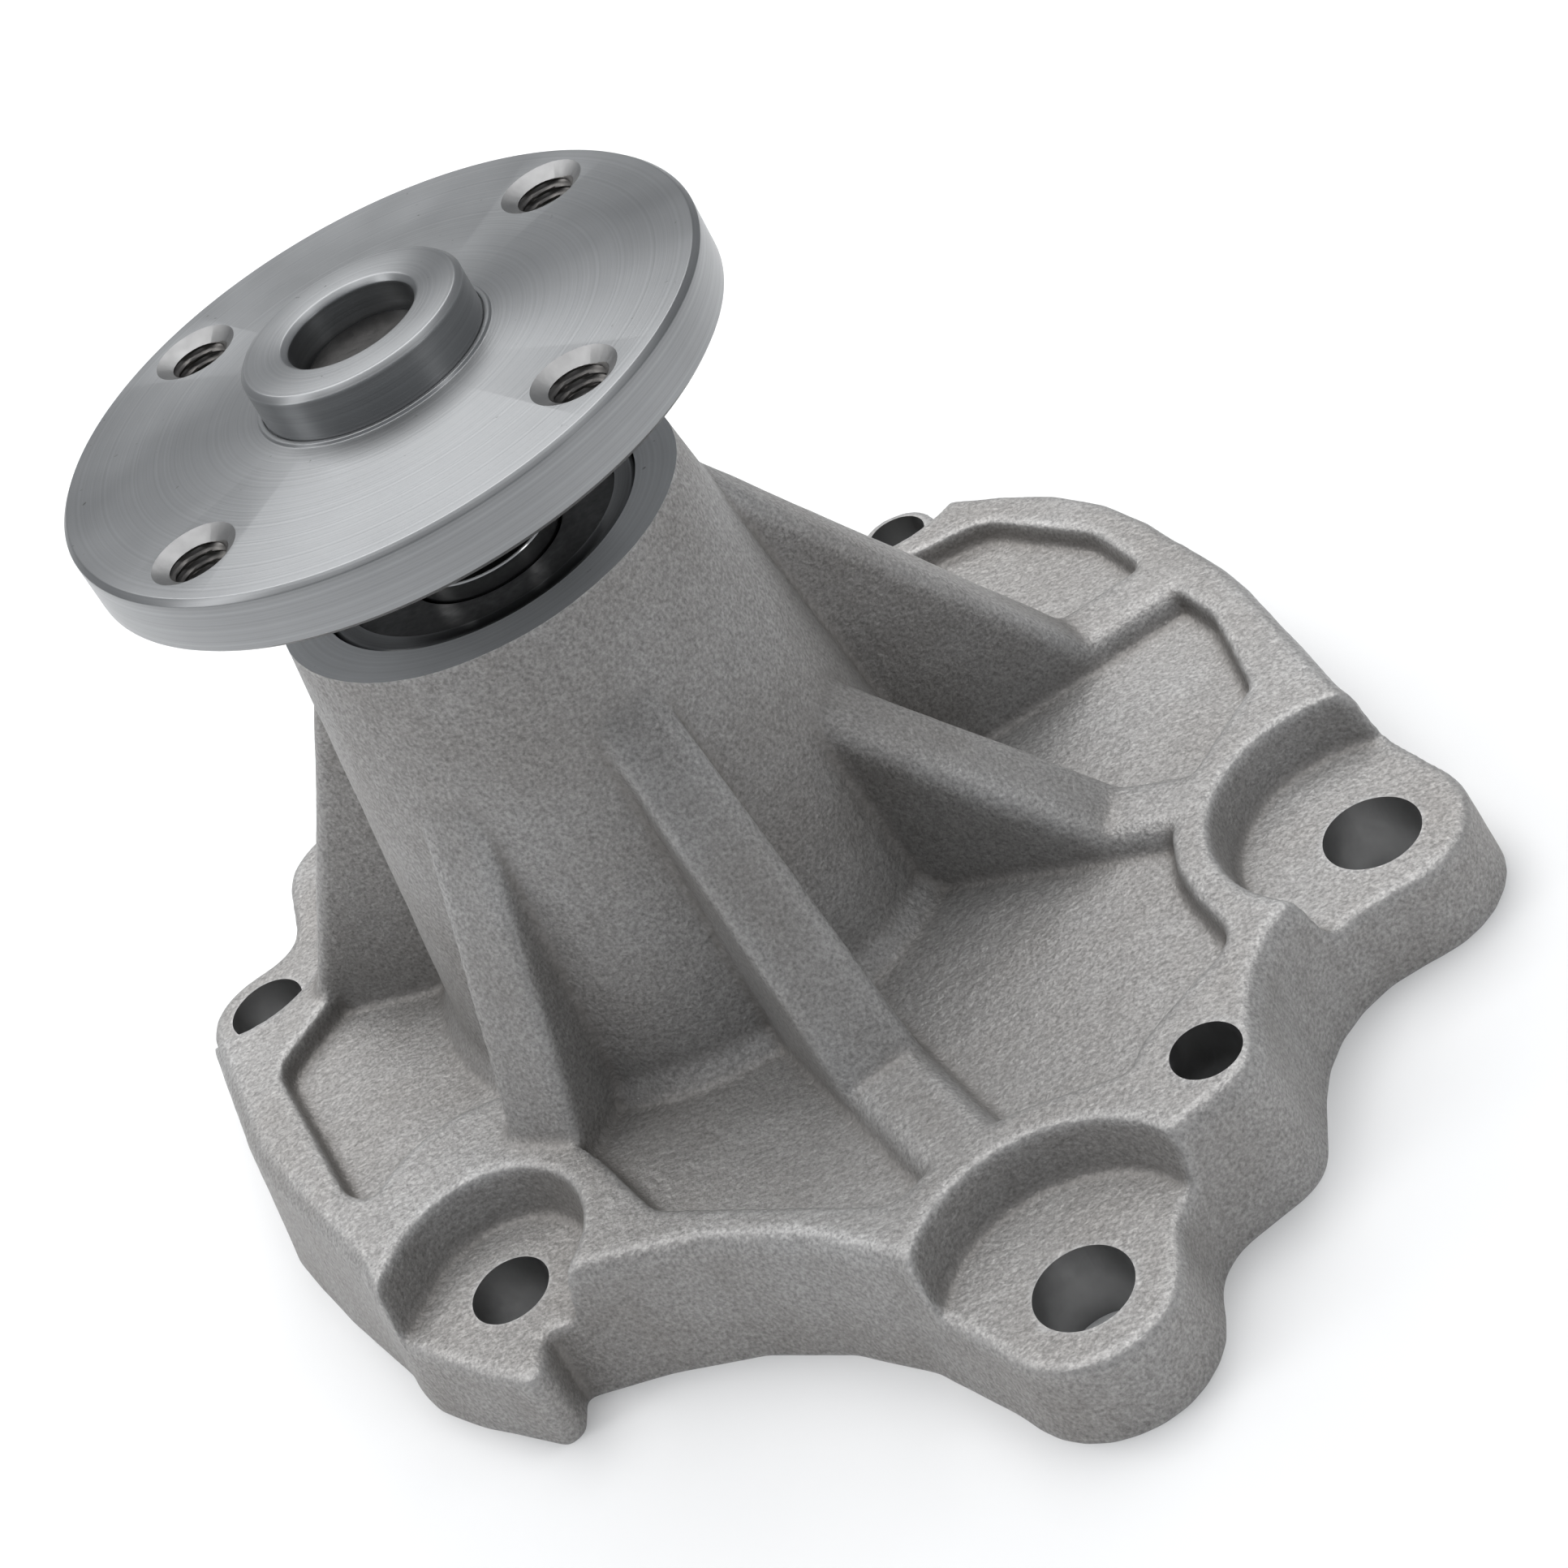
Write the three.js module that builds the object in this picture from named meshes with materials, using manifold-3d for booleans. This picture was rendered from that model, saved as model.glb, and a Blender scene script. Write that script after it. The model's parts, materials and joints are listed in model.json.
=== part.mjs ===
// Engine water pump: a cast housing with a tall ribbed snout, an integral-shaft ball bearing,
// a flanged drive hub, a mechanical seal and an impeller.
// Millimetres, +Z up. The pump stands on its mounting face at z = 0, hub upwards. Every piece is
// drawn about the shaft's axis, and the finished group is moved so that the middle of the base's
// bounding box is at the origin.
import * as THREE from 'three';
import { mergeVertices } from 'three/addons/utils/BufferGeometryUtils.js';
import Module from 'manifold-3d';

const wasm = await Module();
wasm.setup();

const DEG = Math.PI / 180;

// ---------------------------------------------------------------- driving dimensions

const GAP = 0.3;                 // clearance where pieces touch or turn
const SLIVER = 0.01;             // keeps two faces that would coincide apart
const OVERSHOOT = 1;             // how far a cutter runs past the face it cuts
const FINE = 48;                 // facets round the hub and the snout
const ROUND = 36;                // facets round the other large turned pieces
const COARSE = 24;               // facets round small turned pieces
const HOLE_SIDES = 16;           // facets round a bolt hole

// Heights above the mounting face
const SEAT_Z = 11.3;             // where the bolt heads bear on the lugs
const FLOOR_Z = 15.4;            // floor of the pockets between the ribs
const RIM_Z = 18.8;              // top of the rim round the base
const SNOUT_Z = 79;              // machined end of the snout
const HUB_Z = 105.2;             // front face of the hub's flange
const CHAMBER_Z = 11;            // roof of the impeller chamber

const SHAFT = { radius: 7.95, journal: 10, bottom: 0.8, journalBottom: 29, journalTop: SNOUT_Z };

const HUB = {
  radius: 41.75, thickness: 7.9, chamfer: 0.7,
  bossRadius: 14.5, bossHeight: 6.3, beadWidth: 1, beadHeight: 0.5,
  neckRadius: 13.5, neckLength: 13.5, recess: 4.3,
  holes: 4, holeCircle: 33.7, holeRadius: 3.4, holeAzimuth: 51.5,
  countersink: 5.4, countersinkSlope: 0.6,
};

const BEARING = {
  outer: 21, inner: 17.8, sealSeat: 18.3, sealSeatDepth: 4.7,
  bottom: 30, top: SNOUT_Z - GAP, chamfer: 0.6,
  ball: 4.76, pitch: 14, rows: [42.5, 66.5], ballsPerRow: 8,
  race: 4.95, cageInner: 12.5, cageOuter: 15.5, cageHalf: 6.2, cagePocket: 5.05,
  lipInset: 2.3, lipHalf: 0.9, lipStep: 1.5,
};

const SNOUT = {
  topRadius: 26, shoulder: 3, shoulderRadius: 27.2, footRadius: 35, flareRadius: 37.5, flareHeight: 3,
};

const SEAL = {
  bore: 17, boreTop: 24.4, neck: 11, web: 1.2, chamberTop: 29.7,
  caseOuter: 16.7, caseWall: 1, caseBottom: 12, caseHole: 9.2,
};

const SLINGER = { hub: 12, radius: 15, bottom: 26, thickness: 1.4, dish: 1.2 };

const IMPELLER = {
  hub: 12.5, radius: 33, top: 8.2, plate: 1.8,
  vanes: 7, vaneThickness: 2.2, vaneSweep: 40, vaneBend: 0.72,
};

// The bolt lugs. Each has a hole and a round recess cut down to the seat for the bolt's head.
const LUGS = {
  front_left: { x: -27.5, y: -56, hole: 5.2, recess: 12 },
  front: { x: 44, y: -85.5, hole: 6.1, recess: 17 },
  right: { x: 87, y: -28.5, hole: 6.2, recess: 17 },
  back: { x: 30.7, y: 70.8, hole: 4.4, recess: 12.2 },
  back_left: { x: -57, y: 42.5, hole: 5.5, recess: 18 },
  left: { x: -68.2, y: 15.2, hole: 5.5, recess: 12 },
};
const RECESS_SLOPE = 0.17;       // how much a recess widens for each millimetre of its height
const DOWEL = { x: 63.9, y: -63.6, mouth: 4.4, mouthDepth: 8, hole: 2.8 };

// The base's outline at the mounting face, as circles that a belt runs round, anticlockwise.
// A belt runs outside a convex circle ([x, y, radius, 1]) and inside a concave one ([..., -1]).
// A fifth number says how many times more than elsewhere the wall leans in at that circle.
const BASE_EDGE = [
  [LUGS.front.x, LUGS.front.y, 13.3, 1],
  [65.3, -83.2, 8, -1],
  [DOWEL.x, DOWEL.y - 1.4, 8.6, 1],
  [92.5, -60.5, 19.2, -1],
  [LUGS.right.x, LUGS.right.y + 0.7, 13.9, 1],
  [107, -1, 17, -1],
  [45, 8, 39.5, 1],
  [30.5, 20.8, 46.3, 1],
  [44.5, 71.5, 5.5, -1],
  [LUGS.back.x, LUGS.back.y, 7.7, 1],
  [17, 73.5, 5.5, -1],
  [0, 0, 63.5, 1],
  [-36, 64.5, 9, -1],
  [LUGS.back_left.x, LUGS.back_left.y, 12, 1],
  [-71.5, 30, 4.5, -1],
  [LUGS.left.x, LUGS.left.y, 10.4, 1],
  [-22, -4, 49.5, 1, 1.6],
  [-27.5, -46.5, 20, 1],
  [-14, -123, 55.6, -1],
];
// The front-left lug stands on a foot with a corner, cut off by a step on its right.
const FOOT_EDGE = [[-27.5, -46.5, 21, 1], [-24.6, -70.9, 2, 1, 0.45]];
const FOOT_STEP = -22.5;
// How far the wall has leaned in at each height: the casting's draft, then its rounded top edge
const BASE_DRAFT = [[0, 0], [RIM_Z - 1.5, 2.7], [RIM_Z, 3.9]];

// The edge of the pockets inside the rim, in the same form
const WALL = 6;                  // wall left round a lug's recess
const POCKET_EDGE = [
  [-2, -55.5, 4, 1],
  [24.5, -66.5, 3.8, 1],
  [LUGS.front.x, LUGS.front.y, LUGS.front.recess + WALL, -1],
  [53.6, -60.8, 1.7, 1],
  [DOWEL.x, DOWEL.y, 8.8, -1],
  [63.5, -45, 5, 1],
  [LUGS.right.x, LUGS.right.y, LUGS.right.recess + WALL, -1],
  [74, -1.5, 3.5, 1],
  [70.5, 13.5, 4.5, 1],
  [57.5, 39.5, 4.5, 1],
  [44, 47.5, 7, 1],
  [0, 0, 46, 1],
  [LUGS.left.x, LUGS.left.y, LUGS.left.recess + 8, -1],
  [-54, -9, 5.5, 1],
  [-42.5, -33, 6.5, 1],
  [LUGS.front_left.x, LUGS.front_left.y, LUGS.front_left.recess + WALL, -1],
];

// Ribs from the snout to the rim. The crest leaves the snout at start, [radius, z], comes down
// to the rim at the radius end, and runs on at the rim's height to the radius reach.
const RIB = { root: 14, halfFoot: 5.7, draft: 1.3, rounding: 3, roundingSteps: 4 };
const RIBS = [
  { azimuth: 21.5, start: [28.5, 69], end: 60.5, reach: 80 },
  { azimuth: -16, start: [28.5, 47], end: 60, reach: 75 },
  { azimuth: -62.6, start: [27.5, 67], end: 55, reach: 79 },
  { azimuth: -116, start: [27, 66.5], end: 45.5, reach: 54 },
  { azimuth: 171, start: [27, 71], end: 55.5, reach: 62 },
  { azimuth: 103, start: [27.4, 72], end: 50, reach: 57 },
];

// The impeller chamber is a spiral that opens into a passage on the right
const VOLUTE = { startRadius: 37, endRadius: 47, startAzimuth: 30, steps: 40 };
const PASSAGE = [[20, 6, 24, 1], [60, 4, 17, 1]];

const WEEP = { azimuth: 68, radius: 2.1, z: 27.5, reach: 60, sides: 12 };

// ---------------------------------------------------------------- solids and shapes

// Makes a closed geometry a solid, whichever way its faces wind.
function solid(geometry) {
  const bare = geometry.clone();
  bare.deleteAttribute('normal');
  bare.deleteAttribute('uv');
  const merged = mergeVertices(bare, 1e-4);
  const position = merged.attributes.position;
  const a = new THREE.Vector3();
  const b = new THREE.Vector3();
  const c = new THREE.Vector3();
  const triangles = [];
  let volume = 0;
  for (let i = 0; i < merged.index.count; i += 3) {
    const [p, q, r] = [0, 1, 2].map((k) => merged.index.getX(i + k));
    if (p === q || q === r || r === p) continue;
    triangles.push([p, q, r]);
    a.fromBufferAttribute(position, p);
    b.fromBufferAttribute(position, q);
    c.fromBufferAttribute(position, r);
    volume += a.dot(b.cross(c));
  }
  const outward = volume > 0 ? triangles : triangles.map(([p, q, r]) => [r, q, p]);
  return new wasm.Manifold(new wasm.Mesh({
    numProp: 3,
    vertProperties: new Float32Array(position.array),
    triVerts: new Uint32Array(outward.flat()),
  }));
}

function toGeometry(manifold) {
  const { vertProperties, triVerts, numProp } = manifold.getMesh();
  const geometry = new THREE.BufferGeometry();
  const vertices = new THREE.InterleavedBuffer(vertProperties, numProp);
  geometry.setAttribute('position', new THREE.InterleavedBufferAttribute(vertices, 3, 0));
  geometry.setIndex(new THREE.BufferAttribute(triVerts, 1));
  const flat = geometry.toNonIndexed();
  flat.computeVertexNormals();
  return flat;
}

function joined(solids) {
  return solids.reduce((sum, next) => sum.add(next));
}

function cut(body, cutters) {
  return cutters.reduce((rest, cutter) => rest.subtract(cutter), body);
}

// A profile of [radius, z] points turned about Z. It closes on itself unless both ends are
// on the axis.
function turned(profile, sides = ROUND) {
  const points = profile.map(([radius, z]) => new THREE.Vector2(radius, z));
  const onAxis = points[0].x === 0 && points[points.length - 1].x === 0;
  if (!onAxis) points.push(points[0].clone());
  return solid(new THREE.LatheGeometry(points, sides).rotateX(Math.PI / 2));
}

function disc(radius, bottom, top, sides = ROUND) {
  return turned([[0, bottom], [radius, bottom], [radius, top], [0, top]], sides);
}

function ring(inner, outer, bottom, top, sides = COARSE) {
  return turned([[inner, bottom], [outer, bottom], [outer, top], [inner, top]], sides);
}

function prism(outline, bottom, top) {
  const options = { depth: top - bottom, bevelEnabled: false, steps: 1 };
  return solid(new THREE.ExtrudeGeometry(new THREE.Shape(outline), options).translate(0, 0, bottom));
}

function arc(centreRadius, centreZ, radius, from, to, steps) {
  return Array.from({ length: steps + 1 }, (_, i) => {
    const angle = (from + ((to - from) * i) / steps) * DEG;
    return [centreRadius + radius * Math.cos(angle), centreZ + radius * Math.sin(angle)];
  });
}

// How a belt round circles goes round each of them, when moved inwards by inset: the circle's
// radius (negative if concave), the belt's heading as it arrives, and how far it turns.
function beltTurns(circles, inset) {
  const count = circles.length;
  const signed = circles.map(([, , radius, side, lean = 1]) => side * radius - inset * lean);
  const heading = circles.map(([x, y], i) => {
    const j = (i + 1) % count;
    const dx = circles[j][0] - x;
    const dy = circles[j][1] - y;
    return Math.atan2(dy, dx) - Math.asin((signed[j] - signed[i]) / Math.hypot(dx, dy));
  });
  return circles.map(([, , , side], i) => {
    const before = heading[(i + count - 1) % count];
    const full = 2 * Math.PI;
    const turn = side * ((((side * (heading[i] - before)) % full) + full) % full);
    return { radius: signed[i], before, turn };
  });
}

// The outline of a belt round circles, with as many corners whatever its inset.
function beltOutline(circles, inset = 0, step = 15) {
  const unmoved = beltTurns(circles, 0);
  return beltTurns(circles, inset).flatMap(({ radius, before, turn }, i) => {
    const [x, y] = circles[i];
    const pieces = Math.max(1, Math.ceil(Math.abs(unmoved[i].turn) / (step * DEG)));
    return Array.from({ length: pieces + 1 }, (_, k) => {
      const angle = before + (turn * k) / pieces - Math.PI / 2;
      return new THREE.Vector2(x + radius * Math.cos(angle), y + radius * Math.sin(angle));
    });
  });
}

// The body that runs through sections, each a loop of as many 3-D corners. Its two ends are
// closed in the plane that flatten draws them in.
function loft(sections, flatten) {
  const count = sections[0].length;
  const top = (sections.length - 1) * count;
  const closing = (section) => THREE.ShapeUtils.triangulateShape(section.map(flatten), []);
  const index = [];
  for (let level = 0; level < top; level += count) {
    for (let i = 0; i < count; i += 1) {
      const low = level + i;
      const next = level + ((i + 1) % count);
      index.push(low, next, next + count, low, next + count, low + count);
    }
  }
  for (const [p, q, r] of closing(sections[0])) index.push(r, q, p);
  for (const [p, q, r] of closing(sections.at(-1))) index.push(top + p, top + q, top + r);
  const geometry = new THREE.BufferGeometry();
  geometry.setAttribute('position', new THREE.Float32BufferAttribute(sections.flat(2), 3));
  geometry.setIndex(index);
  return solid(geometry);
}

// A prism whose wall leans in: the outline's inset at each of its levels.
function draftedPrism(circles, levels) {
  const sections = levels.map(([z, inset]) => (
    beltOutline(circles, inset).map((point) => [point.x, point.y, z])
  ));
  return loft(sections, ([x, y]) => new THREE.Vector2(x, y));
}

// ---------------------------------------------------------------- housing

function lugHole({ x, y, hole }) {
  return disc(hole, -OVERSHOOT, RIM_Z + OVERSHOOT, HOLE_SIDES).translate(x, y, 0);
}

// The recess round a lug's seat widens upwards, and is open on the side away from the shaft.
function lugRecess({ x, y, recess }) {
  const height = RIM_Z + OVERSHOOT - SEAT_Z;
  const wide = recess + RECESS_SLOPE * height;
  const dish = turned([[0, 0], [recess, 0], [wide, height], [wide, 2 * height], [0, 2 * height]]);
  const away = new THREE.Vector2(x, y).setLength(2 * recess);
  return wasm.Manifold.hull([dish, dish.translate(away.x, away.y, 0)]).translate(x, y, SEAT_Z);
}

function dowelHole() {
  const mouth = disc(DOWEL.mouth, RIM_Z - DOWEL.mouthDepth, RIM_Z + OVERSHOOT, HOLE_SIDES);
  const through = disc(DOWEL.hole, -OVERSHOOT, RIM_Z, HOLE_SIDES);
  return mouth.add(through).translate(DOWEL.x, DOWEL.y, 0);
}

// A rib's section across its length: drafted sides and a rounded crest at the height z.
function ribSection(radius, z) {
  const { halfFoot, draft, rounding, roundingSteps } = RIB;
  const buried = CHAMBER_Z + OVERSHOOT;
  const slope = Math.tan(draft * DEG);
  const foot = halfFoot + (FLOOR_Z - buried) * slope;
  const crest = halfFoot - (z - FLOOR_Z) * slope - rounding;
  return [
    [-foot, buried],
    [foot, buried],
    ...arc(crest, z - rounding, rounding, 0, 90, roundingSteps),
    ...arc(-crest, z - rounding, rounding, 90, 180, roundingSteps),
  ].map(([across, height]) => [radius, across, height]);
}

function rib({ azimuth, start, end, reach }) {
  const rim = RIM_Z - SLIVER;
  const stations = [[RIB.root, start[1]], start, [end, rim], [reach, rim]];
  const sections = stations.map(([radius, z]) => ribSection(radius, z));
  return loft(sections, ([, across, z]) => new THREE.Vector2(across, z)).rotate([0, 0, azimuth]);
}

function snoutBody() {
  return turned([
    [0, CHAMBER_Z + OVERSHOOT],
    [SNOUT.flareRadius, CHAMBER_Z + OVERSHOOT],
    [SNOUT.flareRadius, FLOOR_Z],
    [SNOUT.footRadius, FLOOR_Z + SNOUT.flareHeight],
    [SNOUT.shoulderRadius, SNOUT_Z - SNOUT.shoulder],
    [SNOUT.topRadius, SNOUT_Z],
    [0, SNOUT_Z],
  ], FINE);
}

// The bearing bore, the drain chamber above the seal, and the seal's bore
function snoutBores() {
  return turned([
    [0, CHAMBER_Z - OVERSHOOT],
    [SEAL.bore, CHAMBER_Z - OVERSHOOT],
    [SEAL.bore, SEAL.boreTop],
    [SEAL.neck, SEAL.boreTop],
    [SEAL.neck, SEAL.boreTop + SEAL.web],
    [SEAL.bore, SEAL.boreTop + SEAL.web],
    [SEAL.bore, SEAL.chamberTop],
    [BEARING.outer + GAP, SEAL.chamberTop],
    [BEARING.outer + GAP, SNOUT_Z + OVERSHOOT],
    [0, SNOUT_Z + OVERSHOOT],
  ]);
}

function impellerChamber() {
  const spiral = Array.from({ length: VOLUTE.steps + 1 }, (_, i) => {
    const share = i / VOLUTE.steps;
    const angle = VOLUTE.startAzimuth * DEG + share * 2 * Math.PI;
    const radius = VOLUTE.startRadius + share * (VOLUTE.endRadius - VOLUTE.startRadius);
    return new THREE.Vector2(radius * Math.cos(angle), radius * Math.sin(angle));
  });
  return prism(spiral, -OVERSHOOT, CHAMBER_Z)
    .add(prism(beltOutline(PASSAGE), -OVERSHOOT, CHAMBER_Z));
}

// The drain that shows when the seal leaks
function weepHole() {
  return disc(WEEP.radius, 0, WEEP.reach, WEEP.sides)
    .rotate([0, 90, WEEP.azimuth])
    .translate(0, 0, WEEP.z);
}

function housing() {
  const lugs = Object.values(LUGS);
  const base = draftedPrism(BASE_EDGE, BASE_DRAFT);
  const pockets = prism(beltOutline(POCKET_EDGE), FLOOR_Z, RIM_Z + OVERSHOOT);
  const foot = draftedPrism(FOOT_EDGE, BASE_DRAFT).trimByPlane([-1, 0, 0], -FOOT_STEP);
  const casting = joined([base.subtract(pockets), foot, snoutBody(), ...RIBS.map(rib)]);
  return cut(casting, [
    ...lugs.map(lugRecess),
    ...lugs.map(lugHole),
    dowelHole(),
    snoutBores(),
    impellerChamber(),
    weepHole(),
  ]);
}

// ---------------------------------------------------------------- bearing

function outerRing() {
  const { outer, inner, sealSeat, sealSeatDepth, bottom, top, chamfer, pitch, race, rows } = BEARING;
  const half = Math.acos((inner - pitch) / race) / DEG;
  const grooves = [...rows].reverse().flatMap((z) => arc(pitch, z, race, half, -half, 4));
  return turned([
    [sealSeat, bottom],
    [outer - chamfer, bottom],
    [outer, bottom + chamfer],
    [outer, top - chamfer],
    [outer - chamfer, top],
    [sealSeat, top],
    [sealSeat, top - sealSeatDepth],
    [inner, top - sealSeatDepth],
    ...grooves,
    [inner, bottom + sealSeatDepth],
    [sealSeat, bottom + sealSeatDepth],
  ]);
}

// A lip seal that closes the bearing's end, dished towards the balls.
function bearingSeal(z, outward) {
  const { sealSeat, lipHalf, lipStep } = BEARING;
  const outer = sealSeat - GAP;
  const lip = SHAFT.journal + GAP;
  const profile = [
    [lip, -lipHalf / 2],
    [outer, -lipHalf],
    [outer, lipHalf],
    [outer - lipStep, lipHalf],
    [lip, lipHalf / 4],
  ];
  return turned(profile.map(([radius, height]) => [radius, z + outward * height]));
}

function cage(z) {
  const { cageInner, cageOuter, cageHalf } = BEARING;
  const pockets = ballCentres(z).map(([x, y]) => (
    solid(new THREE.SphereGeometry(BEARING.cagePocket, 12, 6).translate(x, y, z))
  ));
  return cut(ring(cageInner, cageOuter, z - cageHalf, z + cageHalf), pockets);
}

function ballCentres(z) {
  return Array.from({ length: BEARING.ballsPerRow }, (_, i) => {
    const angle = (i * 2 * Math.PI) / BEARING.ballsPerRow;
    return [BEARING.pitch * Math.cos(angle), BEARING.pitch * Math.sin(angle), z];
  });
}

// ---------------------------------------------------------------- rotor

function shaft() {
  const { radius, journal, bottom, journalBottom, journalTop } = SHAFT;
  const { pitch, race, rows } = BEARING;
  const top = HUB_Z + HUB.bossHeight - HUB.recess;
  const half = Math.acos((pitch - journal) / race) / DEG;
  const grooves = rows.flatMap((z) => arc(pitch, z, race, 180 + half, 180 - half, 4));
  return turned([
    [0, bottom],
    [radius, bottom],
    [radius, journalBottom],
    [journal, journalBottom + 1],
    ...grooves,
    [journal, journalTop],
    [radius, journalTop + 1],
    [radius, top - 0.5],
    [radius - 0.5, top],
    [0, top],
  ], COARSE);
}

function hub() {
  const { radius, thickness, chamfer, bossRadius, bossHeight, beadWidth, beadHeight } = HUB;
  const bore = SHAFT.radius + GAP;
  const face = HUB_Z;
  const back = face - thickness;
  const boss = face + bossHeight;
  const neckEnd = back - HUB.neckLength;
  const blank = turned([
    [bore, neckEnd],
    [HUB.neckRadius, neckEnd],
    [HUB.neckRadius, back],
    [radius - chamfer, back],
    [radius, back + chamfer],
    [radius, face - chamfer],
    [radius - chamfer, face],
    [bossRadius + beadWidth, face],
    [bossRadius + beadWidth, face + beadHeight],
    [bossRadius, face + beadHeight],
    [bossRadius, boss - chamfer],
    [bossRadius - chamfer, boss],
    [bore + chamfer, boss],
    [bore, boss - chamfer],
  ], FINE);
  return cut(blank, hubHoleCentres().map(([x, y]) => tappedHole().translate(x, y, 0)));
}

function hubHoleCentres() {
  return Array.from({ length: HUB.holes }, (_, i) => {
    const angle = HUB.holeAzimuth * DEG + (i * 2 * Math.PI) / HUB.holes;
    return [HUB.holeCircle * Math.cos(angle), HUB.holeCircle * Math.sin(angle)];
  });
}

function tappedHole() {
  const { holeRadius, countersink, thickness } = HUB;
  const depth = (countersink - holeRadius) * HUB.countersinkSlope;
  return turned([
    [0, HUB_Z - thickness - OVERSHOOT],
    [holeRadius, HUB_Z - thickness - OVERSHOOT],
    [holeRadius, HUB_Z - depth],
    [countersink, HUB_Z],
    [countersink, HUB_Z + OVERSHOOT],
    [0, HUB_Z + OVERSHOOT],
  ], HOLE_SIDES);
}

// Backward-curved vanes hang from the plate, between the hub and the plate's edge.
function vane(index) {
  const { hub: hubRadius, radius, vaneThickness, vanes, vaneSweep, vaneBend } = IMPELLER;
  const from = new THREE.Vector2(hubRadius - 1, 0);
  const bend = new THREE.Vector2(radius * vaneBend, 0);
  const to = new THREE.Vector2(radius - GAP, 0).rotateAround(new THREE.Vector2(), vaneSweep * DEG);
  const middle = new THREE.QuadraticBezierCurve(from, bend, to);
  const stations = [0, 0.2, 0.4, 0.6, 0.8, 1];
  const side = (sign) => stations.map((t) => {
    const along = middle.getTangent(t);
    const across = new THREE.Vector2(-along.y, along.x).multiplyScalar((sign * vaneThickness) / 2);
    return middle.getPoint(t).add(across);
  });
  const outline = [...side(-1), ...side(1).reverse()];
  return prism(outline, SHAFT.bottom, IMPELLER.top - IMPELLER.plate / 2)
    .rotate([0, 0, (index * 360) / vanes]);
}

function impeller() {
  const { hub: hubRadius, radius, top, plate, vanes } = IMPELLER;
  const bore = SHAFT.radius + GAP;
  const body = ring(bore, hubRadius, SHAFT.bottom, top, ROUND);
  const backPlate = ring(bore, radius, top - plate, top, ROUND);
  return joined([body, backPlate, ...Array.from({ length: vanes }, (_, i) => vane(i))]);
}

// ---------------------------------------------------------------- mechanical seal

const SEAT_CUP = { bottom: IMPELLER.top + GAP, floor: 0.9, wall: 0.7, outer: 12.8, height: 2.4 };
const SEAT_RING_TOP = 11.2;

function seatCup() {
  const { bottom, floor, wall, outer, height } = SEAT_CUP;
  return turned([
    [SHAFT.radius + GAP, bottom],
    [outer, bottom],
    [outer, bottom + height],
    [outer - wall, bottom + height],
    [outer - wall, bottom + floor],
    [SHAFT.radius + GAP, bottom + floor],
  ], COARSE);
}

function seatRing() {
  const bottom = SEAT_CUP.bottom + SEAT_CUP.floor + GAP;
  return ring(SHAFT.radius + GAP, SEAT_CUP.outer - SEAT_CUP.wall - GAP, bottom, SEAT_RING_TOP);
}

const CARBON = { inner: 8.7, outer: 11.2, bottom: SEAT_RING_TOP + GAP, top: 14.5 };
const BELLOWS = { inner: 9, crest: 12.2, valley: 10.6, bottom: CARBON.top + GAP, top: 22.8 };
const SPRING = { radius: 13.7, wire: 0.8, bottom: 15.6, top: 22, turns: 4, stepsPerTurn: 14 };

function sealBellows() {
  const { inner, crest, valley, bottom, top } = BELLOWS;
  const folds = 3;
  const pitch = (top - bottom) / folds;
  const outside = Array.from({ length: folds }, (_, i) => [
    [crest, bottom + i * pitch],
    [crest, bottom + (i + 0.4) * pitch],
    [valley, bottom + (i + 0.7) * pitch],
  ]).flat();
  return turned([[inner, bottom], ...outside, [crest, top], [inner, top]], COARSE);
}

class Helix extends THREE.Curve {
  getPoint(t) {
    const angle = t * SPRING.turns * 2 * Math.PI;
    const z = SPRING.bottom + t * (SPRING.top - SPRING.bottom);
    return new THREE.Vector3(SPRING.radius * Math.cos(angle), SPRING.radius * Math.sin(angle), z);
  }
}

function sealSpring() {
  const sides = 6;
  const section = new THREE.Shape(Array.from({ length: sides }, (_, i) => (
    new THREE.Vector2(Math.cos((i * 2 * Math.PI) / sides), Math.sin((i * 2 * Math.PI) / sides))
      .multiplyScalar(SPRING.wire)
  )));
  const steps = SPRING.turns * SPRING.stepsPerTurn;
  return solid(new THREE.ExtrudeGeometry(section, { steps, extrudePath: new Helix() }));
}

function sealCase() {
  const { caseOuter, caseWall, caseBottom, caseHole, boreTop } = SEAL;
  const top = boreTop - GAP;
  return turned([
    [caseOuter - caseWall, caseBottom],
    [caseOuter, caseBottom],
    [caseOuter, top],
    [caseHole, top],
    [caseHole, top - caseWall],
    [caseOuter - caseWall, top - caseWall],
  ]);
}

// A rubber washer on the shaft, dished upwards, that throws leaked coolant off to the drain.
function slinger() {
  const { hub: hubRadius, radius, bottom, thickness, dish } = SLINGER;
  const bore = SHAFT.radius + GAP;
  return turned([
    [bore, bottom],
    [hubRadius, bottom],
    [radius, bottom + dish],
    [radius, bottom + dish + thickness / 2],
    [hubRadius, bottom + thickness],
    [bore, bottom + thickness],
  ], COARSE);
}

// ---------------------------------------------------------------- the pump

function material(color, roughness, metalness) {
  return new THREE.MeshStandardMaterial({ color, roughness, metalness });
}

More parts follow.
